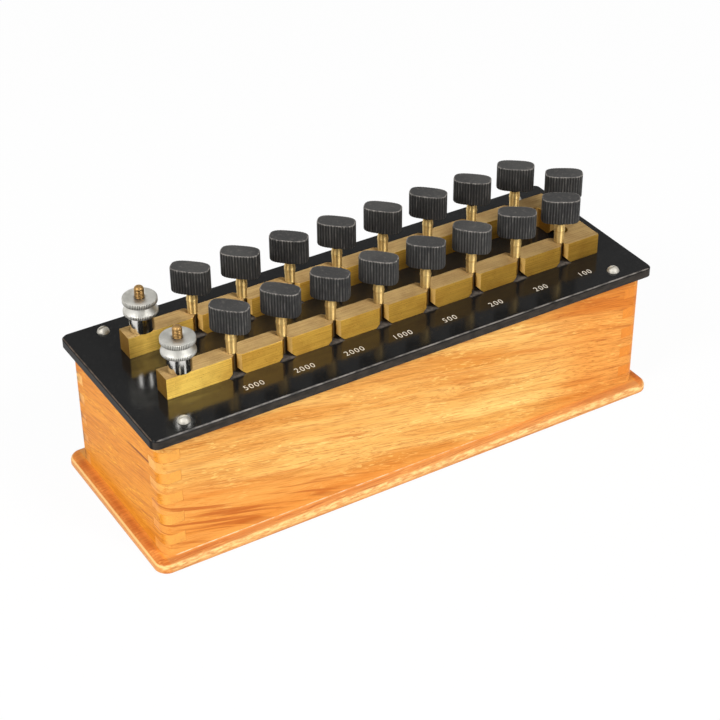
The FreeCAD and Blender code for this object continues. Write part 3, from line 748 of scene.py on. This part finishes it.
def flat_faces_joined(node):
    """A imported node's triangles, joined at their corners, with flat faces made whole."""
    shell = bmesh.new()
    shell.from_mesh(nodes[node].data)
    bmesh.ops.remove_doubles(shell, verts=shell.verts, dist=JOIN_DISTANCE)
    bmesh.ops.dissolve_limit(
        shell,
        angle_limit=FLAT_ANGLE,
        verts=shell.verts,
        edges=shell.edges,
    )
    mesh = bpy.data.meshes.new(f"{node}_finished")
    shell.to_mesh(mesh)
    shell.free()
    return mesh


def new_piece(name, mesh, material):
    """A new object in the scene with one material."""
    mesh.materials.clear()
    mesh.materials.append(material)
    piece = bpy.data.objects.new(name, mesh)
    bpy.context.scene.collection.objects.link(piece)
    return piece


def applied(piece):
    """The piece with its modifiers worked into a plain mesh."""
    bpy.context.view_layer.update()
    evaluated = piece.evaluated_get(bpy.context.evaluated_depsgraph_get())
    finished = bpy.data.meshes.new_from_object(evaluated)
    piece.modifiers.clear()
    piece.data = finished
    return piece


def stand_in_for(piece, node):
    """The piece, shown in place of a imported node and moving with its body."""
    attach(piece, nodes[node]["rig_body"])
    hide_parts(node)
    return piece


def broken_edges(node, width, material):
    """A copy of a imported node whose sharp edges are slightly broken, so that they catch the light."""
    mesh = flat_faces_joined(node)
    mesh.shade_smooth()
    piece = new_piece(f"{node}_finished", mesh, material)
    edge = piece.modifiers.new("broken_edge", "BEVEL")
    edge.width = width
    edge.segments = EDGE_STEPS
    edge.limit_method = "ANGLE"
    edge.angle_limit = EDGE_ANGLE
    edge.miter_outer = "MITER_ARC"
    shade = piece.modifiers.new("flat_faces", "WEIGHTED_NORMAL")
    shade.keep_sharp = True
    return stand_in_for(applied(piece), node)


def smooth_copy(node, material):
    """A copy of a turned node with its curved faces shaded smooth."""
    mesh = flat_faces_joined(node)
    mesh.shade_smooth()
    mesh.set_sharp_from_angle(angle=EDGE_ANGLE)
    return stand_in_for(new_piece(f"{node}_finished", mesh, material), node)


def dress(node, material):
    """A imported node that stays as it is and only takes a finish."""
    nodes[node].data.materials.clear()
    nodes[node].data.materials.append(material)


def ringed_piece_tree():
    """A tree that stacks rings on a profile: each ring follows a rounded oblong, ribbed or screwed as asked.

    The profile's points hold the inset from the outline in X and the height in Z. Their attributes tell how
    far the ring spreads, how deep its ribs are and how worn it is.
    """
    tree = bpy.data.node_groups.new("ringed_piece", "GeometryNodeTree")
    sheet = NodeSheet(tree)
    tree.interface.new_socket("Geometry", in_out="OUTPUT", socket_type="NodeSocketGeometry")
    tree.interface.new_socket("Profile", in_out="INPUT", socket_type="NodeSocketGeometry")
    for label in ("Length", "Depth", "Squareness", "Ribs", "Rib Depth", "Twist", "Turn"):
        tree.interface.new_socket(label, in_out="INPUT", socket_type="NodeSocketFloat")
    tree.interface.new_socket("Columns", in_out="INPUT", socket_type="NodeSocketInt")
    tree.interface.new_socket("Place", in_out="INPUT", socket_type="NodeSocketVector")
    tree.interface.new_socket("Material", in_out="INPUT", socket_type="NodeSocketMaterial")
    given = sheet.add("NodeGroupInput").outputs

    position = sheet.add("GeometryNodeInputPosition").outputs[0]
    across = sheet.split(position)
    power = sheet.calc("DIVIDE", 2.0, given["Squareness"])
    corner = []
    for side, span in zip(across[:2], (given["Length"], given["Depth"])):
        bent = sheet.calc("POWER", sheet.calc("ABSOLUTE", side), power)
        signed = sheet.times(bent, sheet.calc("SIGN", side))
        corner.append(sheet.times(signed, sheet.calc("DIVIDE", span, 2.0)))
    circle = sheet.add("GeometryNodeCurvePrimitiveCircle", {"Resolution": OUTLINE_STEPS, "Radius": 1.0})
    outline = sheet.add(
        "GeometryNodeSetPosition",
        {"Geometry": circle.outputs[0], "Position": sheet.join(*corner, 0.0)},
    )

    rows = sheet.add("GeometryNodeAttributeDomainSize", {0: given["Profile"]}, component="MESH")
    row_count = rows.outputs["Point Count"]
    columns = sheet.calc("ADD", given["Columns"], 1.0)
    grid = sheet.add(
        "GeometryNodeMeshGrid",
        {"Size X": 1.0, "Size Y": 1.0, "Vertices X": columns, "Vertices Y": row_count},
    )
    round_share = sheet.calc("ADD", across[0], 0.5)
    row = sheet.times(sheet.calc("ADD", across[1], 0.5), sheet.calc("SUBTRACT", row_count, 1.0))
    row = sheet.calc("ROUND", row)

    def profile_value(field, kind):
        sampled = {"Geometry": given["Profile"], "Value": field, "Index": row}
        return sheet.add("GeometryNodeSampleIndex", sampled, data_type=kind).outputs[0]

    def profile_attribute(name):
        field = sheet.add("GeometryNodeInputNamedAttribute", {"Name": name}, data_type="FLOAT").outputs[0]
        return profile_value(field, "FLOAT")

    on_profile = sheet.split(profile_value(position, "FLOAT_VECTOR"))
    spread = profile_attribute("spread")
    rib_share = profile_attribute("rib_share")
    wear = profile_attribute("wear")

    point = sheet.add("GeometryNodeSampleCurve", {"Curves": outline.outputs[0], "Factor": round_share})
    on_outline = sheet.split(point.outputs["Position"])
    tangent = sheet.split(point.outputs["Tangent"])
    turns = sheet.times(given["Ribs"], round_share)
    turns = sheet.calc("ADD", turns, sheet.times(given["Twist"], on_profile[2]))
    crest = sheet.calc("ABSOLUTE", sheet.calc("SINE", sheet.times(turns, math.pi)))
    between = sheet.calc("SUBTRACT", 1.0, crest)
    groove = sheet.times(between, given["Rib Depth"])
    inset = sheet.calc("ADD", on_profile[0], sheet.times(groove, rib_share))
    x = sheet.calc("SUBTRACT", on_outline[0], sheet.times(tangent[1], inset))
    y = sheet.calc("ADD", on_outline[1], sheet.times(tangent[0], inset))
    place = sheet.join(sheet.times(x, spread), sheet.times(y, spread), on_profile[2])

    shape = grid
    for name, value in (("worn_edge", wear), ("rib_groove", sheet.times(between, rib_share))):
        stored = {"Geometry": shape.outputs[0], "Name": name, "Value": value}
        shape = sheet.add("GeometryNodeStoreNamedAttribute", stored)
    shape = sheet.add("GeometryNodeSetPosition", {"Geometry": shape.outputs[0], "Position": place})
    merged = {"Geometry": shape.outputs[0], "Distance": JOIN_DISTANCE}
    shape = sheet.add("GeometryNodeMergeByDistance", merged)
    turned = {"Translation": given["Place"], "Rotation": sheet.join(0.0, 0.0, given["Turn"])}
    shape = sheet.add("GeometryNodeTransform", {"Geometry": shape.outputs[0], **turned})
    shape = sheet.add("GeometryNodeRealizeInstances", {"Geometry": shape.outputs[0]})
    finished = {"Geometry": shape.outputs[0], "Material": given["Material"]}
    shape = sheet.add("GeometryNodeSetMaterial", finished)
    sheet.add("NodeGroupOutput", {"Geometry": shape.outputs[0]})
    return tree


def profile_mesh(rings):
    """Profile points for the ringed piece: inset, height, spread, and how ribbed and worn a ring is."""
    mesh = bpy.data.meshes.new("profile")
    mesh.from_pydata([(ring["inset"], 0.0, ring["height"]) for ring in rings], [], [])
    for name in ("spread", "rib_share", "wear"):
        layer = mesh.attributes.new(name, "FLOAT", "POINT")
        layer.data.foreach_set("value", [ring[name] for ring in rings])
    return mesh


def ring(height, inset=0.0, spread=1.0, rib_share=0.0, wear=0.0):
    """One ring of a profile. A spread of 0 draws it together to a point and closes the piece."""
    return {"height": height, "inset": inset, "spread": spread, "rib_share": rib_share, "wear": wear}


def ringed_mesh(rings, **sizes):
    """One mesh from the ringed piece tree, with the sizes given by the names of its inputs."""
    carrier = bpy.data.objects.new("ringed_carrier", profile_mesh(rings))
    bpy.context.scene.collection.objects.link(carrier)
    modifier = carrier.modifiers.new("ringed_piece", "NODES")
    modifier.node_group = RINGED_PIECE
    for item in RINGED_PIECE.interface.items_tree:
        if item.in_out == "INPUT" and item.name.replace(" ", "_") in sizes:
            modifier[item.identifier] = sizes[item.name.replace(" ", "_")]
    mesh = applied(carrier).data
    bpy.data.objects.remove(carrier)
    mesh.shade_smooth()
    mesh.set_sharp_from_angle(angle=RINGED_SHARP_ANGLE)
    return mesh


def round_mesh(rings, width, centre, material, **sizes):
    """A ringed mesh with a round outline."""
    return ringed_mesh(
        rings,
        Length=width,
        Depth=width,
        Squareness=ROUND_OUTLINE,
        Place=(centre.x, centre.y, 0.0),
        Material=material,
        **sizes,
    )


def joined(name, meshes):
    """Several meshes as one."""
    shell = bmesh.new()
    for mesh in meshes:
        shell.from_mesh(mesh)
    whole = bpy.data.meshes.new(name)
    for material in meshes[0].materials:
        whole.materials.append(material)
    shell.to_mesh(whole)
    shell.free()
    return whole


def oblong(node):
    """Centre, turn, length and depth of a packed plug head, seen from above."""
    corners = np.array([vertex.co for vertex in nodes[node].data.vertices])
    centre = middle(node)
    flat = corners[:, :2] - np.array(centre.xy)
    turns = np.radians(np.arange(0.0, 180.0, HEAD_TURN_STEP))
    spans = np.ptp(flat @ np.array([np.cos(turns), np.sin(turns)]), axis=0)
    narrow = int(spans.argmin())
    turn = turns[narrow] - math.pi / 2
    length = spans[(narrow + len(turns) // 2) % len(turns)]
    return centre, float(turn), float(length), float(spans[narrow])


def head_rings(bottom, top):
    """The rings of a head from its rounded lower edge to its worn upper edge."""
    rings = [ring(bottom, spread=0.0)]
    for step in range(ROUND_STEPS + 1):
        angle = math.pi / 2 * step / ROUND_STEPS
        inset = HEAD_ROUND * (1 - math.sin(angle))
        height = bottom + HEAD_ROUND * (1 - math.cos(angle))
        rib_share = HEAD_FOOT_RIBBING + (1 - HEAD_FOOT_RIBBING) * math.sin(angle)
        rings.append(ring(height, inset, rib_share=rib_share))
    for drop, inset, rib_share, wear in HEAD_RIM:
        height = top - drop * HEAD_BEVEL
        rings.append(ring(height, inset * HEAD_BEVEL, rib_share=rib_share, wear=wear))
    rings.append(ring(top, spread=0.0))
    return rings


def plug_head(name, material):
    """One moulded head: a ribbed oblong with a short round boss under it."""
    node = f"plug_head_{name}"
    low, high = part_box(node)
    centre, turn, length, depth = oblong(node)
    bottom = low.z + HEAD_BOSS_HEIGHT
    oblong_body = ringed_mesh(
        head_rings(bottom, high.z),
        Length=length,
        Depth=depth,
        Squareness=HEAD_SQUARENESS,
        Ribs=float(HEAD_RIBS),
        Rib_Depth=HEAD_RIB_DEPTH,
        Columns=HEAD_RIBS * HEAD_RIB_STEPS,
        Turn=turn,
        Place=(centre.x, centre.y, 0.0),
        Material=material,
    )
    shrink = (HEAD_BOSS_TOP - HEAD_BOSS_BOTTOM) / 2
    boss_top = bottom + HEAD_BOSS_OVERLAP
    boss_rings = [ring(low.z, spread=0.0), ring(low.z, shrink), ring(boss_top), ring(boss_top, spread=0.0)]
    boss = round_mesh(boss_rings, HEAD_BOSS_TOP, centre, material, Columns=HEAD_BOSS_COLUMNS)
    piece_name = f"{node}_ribbed"
    piece = new_piece(piece_name, joined(piece_name, [oblong_body, boss]), material)
    return stand_in_for(piece, node)


def thumb_nut(side, material):
    """One thumb nut: knurled rims above and below a flared waist, bored through."""
    node = f"{side}_terminal_nut"
    low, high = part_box(node)
    centre = middle(node)
    span = high.x - low.x
    bore = (span - NUT_BORE) / 2
    waist = (span - NUT_WAIST) / 2
    flare_foot = low.z + NUT_LOWER_RIM
    flare_head = flare_foot + NUT_FLARE
    rim_foot = flare_head + NUT_GROOVE
    rings = [
        ring(low.z, bore),
        ring(low.z, NUT_CHAMFER),
        ring(low.z + NUT_CHAMFER, rib_share=1.0),
        ring(flare_foot - NUT_CHAMFER, rib_share=1.0),
        ring(flare_foot, NUT_CHAMFER),
        ring(flare_head, waist),
        ring(rim_foot, waist),
        ring(rim_foot, NUT_CHAMFER),
        ring(rim_foot + NUT_CHAMFER, rib_share=1.0),
        ring(high.z - NUT_CHAMFER, rib_share=1.0),
        ring(high.z, NUT_CHAMFER),
        ring(high.z, bore - NUT_BORE_CHAMFER),
        ring(high.z - NUT_BORE_CHAMFER, bore),
        ring(low.z, bore),
    ]
    columns = NUT_KNURLS * NUT_KNURL_STEPS
    knurls = {"Ribs": float(NUT_KNURLS), "Rib_Depth": NUT_KNURL_DEPTH, "Columns": columns}
    mesh = round_mesh(rings, span, centre, material, **knurls)
    return stand_in_for(new_piece(f"{node}_knurled", mesh, material), node)


def terminal_stud(side, material):
    """One terminal stud, screwed down to the thumb nut's seat, with a rounded tip."""
    node = f"{side}_terminal_stud"
    low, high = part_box(node)
    centre = middle(node)
    thread_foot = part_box(f"{side}_terminal_nut")[1].z
    width = high.x - low.x
    core = (width - STUD_CORE) / 2
    rings = [ring(low.z, spread=0.0), ring(low.z, core), ring(thread_foot, core)]
    turn_height = THREAD_PITCH / THREAD_STEPS_PER_TURN
    steps = int((high.z - TIP_ROUND - thread_foot) / turn_height)
    for step in range(1, steps + 1):
        rings.append(ring(thread_foot + step * turn_height, rib_share=1.0))
    tip_foot = rings[-1]["height"]
    for step in range(1, ROUND_STEPS + 1):
        angle = math.pi / 2 * step / ROUND_STEPS
        height = tip_foot + (high.z - tip_foot) * math.sin(angle)
        rings.append(ring(height, width * TIP_NARROWING * (1 - math.cos(angle))))
    rings.append(ring(high.z, spread=0.0))
    thread = {"Ribs": 1.0, "Rib_Depth": THREAD_DEPTH, "Twist": -1 / THREAD_PITCH, "Columns": STUD_COLUMNS}
    mesh = round_mesh(rings, width, centre, material, **thread)
    return stand_in_for(new_piece(f"{node}_screwed", mesh, material), node)


def engraved_number(text, x, y, z):
    """One number as a thin flat mesh lying in the panel's face."""
    line = bpy.data.curves.new(f"number_{text}", "FONT")
    line.body = text
    line.align_x = "CENTER"
    line.align_y = "CENTER"
    line.size = NUMBER_HEIGHT / TYPE_HEIGHT_SHARE
    line.offset = -NUMBER_THINNING
    line.extrude = NUMBER_PROUD
    line.space_character = NUMBER_SPACING
    writing = bpy.data.objects.new(f"number_{text}", line)
    bpy.context.scene.collection.objects.link(writing)
    bpy.context.view_layer.update()
    mesh = bpy.data.meshes.new_from_object(writing.evaluated_get(bpy.context.evaluated_depsgraph_get()))
    bpy.data.objects.remove(writing)
    mesh.transform(Matrix.Translation((x, y, z)) @ Matrix.Diagonal((NUMBER_NARROWING, 1.0, 1.0, 1.0)))
    return mesh


def panel_numbers(material):
    """The numbers of both rows, one beside each plug, as one piece."""
    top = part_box("panel")[1].z
    meshes = []
    rows = (("front", FRONT_NUMBERS, -NUMBER_FRONT_LINE), ("back", BACK_NUMBERS, NUMBER_BACK_LINE))
    for row, numbers, shift in rows:
        first = middle(f"plug_pin_{row}_1")
        for index, text in enumerate(numbers):
            x = first.x + NUMBER_SHIFT + index * NUMBER_PITCH
            meshes.append(engraved_number(text, x, first.y + shift - index * NUMBER_DRIFT, top))
    piece = new_piece("panel_numbers", joined("panel_numbers", meshes), material)
    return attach(piece, "case")


def seen_share(sheet):
    """1 on rays that show a surface to the eye, in a reflection or through glass, and 0 on the rest."""
    path = sheet.add("ShaderNodeLightPath").outputs
    seen = sheet.calc("ADD", path["Is Camera Ray"], path["Is Glossy Ray"])
    return sheet.calc("ADD", seen, path["Is Transmission Ray"], clamp=True)


def studio_floor():
    """A wide white floor that keeps a soft shadow, and looks white to the eye and to polished metal."""
    shell = bmesh.new()
    bmesh.ops.create_circle(shell, cap_ends=True, segments=FLOOR_SIDES, radius=FLOOR_RADIUS)
    mesh = bpy.data.meshes.new("floor")
    shell.to_mesh(mesh)
    shell.free()
    material = bpy.data.materials.new("floor_white")
    material.use_nodes = True
    sheet = NodeSheet(material.node_tree)
    sheet.tree.nodes.clear()
    paper = sheet.add("ShaderNodeBsdfDiffuse", {"Color": FLOOR_COLOUR})
    glow = sheet.add("ShaderNodeEmission", {"Color": WHITE, "Strength": 1.0})
    share = sheet.times(seen_share(sheet), FLOOR_WHITE_SHARE)
    surface = sheet.add("ShaderNodeMixShader", {0: share, 1: paper.outputs[0], 2: glow.outputs[0]})
    sheet.add("ShaderNodeOutputMaterial", {"Surface": surface.outputs[0]})
    floor = new_piece("floor", mesh, material)


def studio_sky():
    """Even grey light all round. Polished faces meet a white backdrop with a dark band behind the box."""
    world = bpy.data.worlds.new("studio_sky")
    bpy.context.scene.world = world
    world.use_nodes = True
    sheet = NodeSheet(world.node_tree)
    sheet.tree.nodes.clear()
    direction = sheet.add("ShaderNodeTexCoord").outputs["Generated"]
    across = sheet.split(direction)
    band = sheet.step(across[2], *SKY_BAND_FOOT_Z, SKY_BACK_SHEEN, SKY_BAND_SHEEN)
    above_band = sheet.step(across[2], *SKY_BAND_HEAD_Z, 0.0, SKY_TOP_SHEEN - SKY_BAND_SHEEN)
    behind = sheet.calc("ADD", band, above_band)
    sheen = sheet.blend(sheet.step(across[1], *SKY_BACK_Y), SKY_FRONT_SHEEN, behind)
    backdrop = sheet.blend(sheet.step(across[2], *SKY_WHITE_FOOT_Z), sheen, 1.0)
    strength = sheet.blend(seen_share(sheet), SKY_GREY, backdrop)
    glow = sheet.add("ShaderNodeBackground", {"Color": WHITE, "Strength": strength})
    sheet.add("ShaderNodeOutputWorld", {"Surface": glow.outputs[0]})


def soft_box(name, bearing, rise, distance, width, height, power):
    """One square studio lamp, aimed at the box. The bearing turns from the front towards the left end."""
    bearing = math.radians(bearing)
    rise = math.radians(rise)
    level = Vector((-math.sin(bearing), -math.cos(bearing), 0.0))
    outward = level * math.cos(rise) + Vector((0.0, 0.0, math.sin(rise)))
    lamp = bpy.data.lights.new(name, "AREA")
    lamp.shape = "RECTANGLE"
    lamp.size = width
    lamp.size_y = height
    lamp.energy = power
    holder = bpy.data.objects.new(name, lamp)
    centre = (cad_box[0] + cad_box[1]) / 2
    holder.location = Vector(centre) + outward * distance
    holder.rotation_euler = outward.to_track_quat("Z", "Y").to_euler()
    bpy.context.scene.collection.objects.link(holder)


def photo_camera():
    """The camera at the photograph's place, looking along its yaw and pitch and turned by its roll."""
    forward = Vector((
        math.sin(CAMERA_YAW) * math.cos(CAMERA_PITCH),
        math.cos(CAMERA_YAW) * math.cos(CAMERA_PITCH),
        -math.sin(CAMERA_PITCH),
    ))
    level = Vector((math.cos(CAMERA_YAW), -math.sin(CAMERA_YAW), 0.0))
    upright = level.cross(forward)
    right = math.cos(CAMERA_ROLL) * level + math.sin(CAMERA_ROLL) * upright
    up = math.cos(CAMERA_ROLL) * upright - math.sin(CAMERA_ROLL) * level
    lens = bpy.data.cameras.new("photo_camera")
    lens.lens = CAMERA_LENS
    lens.sensor_width = CAMERA_SENSOR
    lens.clip_end = CAMERA_REACH
    camera = bpy.data.objects.new("photo_camera", lens)
    turn = Matrix((right, up, -forward)).transposed()
    camera.matrix_world = Matrix.Translation(CAMERA_PLACE) @ turn.to_4x4()
    bpy.context.scene.collection.objects.link(camera)
    bpy.context.scene.camera = camera


RINGED_PIECE = ringed_piece_tree()
PLUGS = [name.removeprefix("plug_head_") for name in nodes if name.startswith("plug_head_")]

long_board_finish = long_board_wood()
short_board_finish = short_board_wood()
bobbin_finish = wood("bobbin_wood", 2, *HONEY, end_tone=srgb(228, 156, 72), seed=11.0)[0].material
block_finish = block_brass()
pin_finish = pin_brass()
stud_finish = stud_brass()
collar_finish = nickel("collar_nickel_polished", srgb(214, 212, 206), srgb(236, 234, 230), roughness=0.12)
nut_finish = nickel("nut_nickel_satin", srgb(205, 203, 194), srgb(227, 225, 218), roughness=0.42)
screw_finish = nickel("screw_nickel_dull", srgb(194, 190, 180), srgb(216, 211, 200), roughness=0.6)
steel_finish = nickel("screw_steel_plain", srgb(206, 204, 196), srgb(232, 230, 224), roughness=0.35)
inner_tones = (srgb(206, 164, 84), srgb(150, 110, 54))
inner_finish = plain_brass("inner_brass_plain", (4 * MM, 4 * MM, 0.2 * MM), *inner_tones, roughness=0.4)
copper_tones = (srgb(222, 142, 104), srgb(160, 92, 64))
copper_finish = plain_brass("lead_copper_wire", even_cell(3), *copper_tones, roughness=0.35)

for node in ("front_wall", "back_wall"):
    broken_edges(node, BOARD_EDGE, long_board_finish)
for node in ("left_wall", "right_wall"):
    broken_edges(node, BOARD_EDGE, short_board_finish)
broken_edges("plinth", BOARD_EDGE, plinth_wood())
broken_edges("panel", PANEL_EDGE, panel_black())
for row in ("front", "back"):
    for part in ("row_blocks", "terminal_block", "end_block"):
        broken_edges(f"{row}_{part}", BLOCK_EDGE, block_finish)
    smooth_copy(f"{row}_terminal_collar", collar_finish)
    thumb_nut(row, nut_finish)
    terminal_stud(row, stud_finish)
smooth_copy("panel_screws", screw_finish)
head_finish = head_black()
for plug in PLUGS:
    smooth_copy(f"plug_pin_{plug}", pin_finish)
    plug_head(plug, head_finish)
panel_numbers(number_paint())

dress("plinth_screws", steel_finish)
dress("block_studs", inner_finish)
dress("stud_nuts", inner_finish)
dress("coil_bobbins", bobbin_finish)
dress("coil_windings", wound_silk())
dress("coil_leads", copper_finish)

studio_floor()
studio_sky()
soft_box("front_lamp", bearing=-20, rise=42, distance=1.7, width=0.45, height=0.7, power=16)
soft_box("left_lamp", bearing=76, rise=40, distance=1.7, width=0.55, height=0.7, power=18)
soft_box("low_front_lamp", bearing=-14, rise=6, distance=2.0, width=0.5, height=0.6, power=4)
photo_camera()
bpy.context.scene.view_settings.view_transform = "Standard"
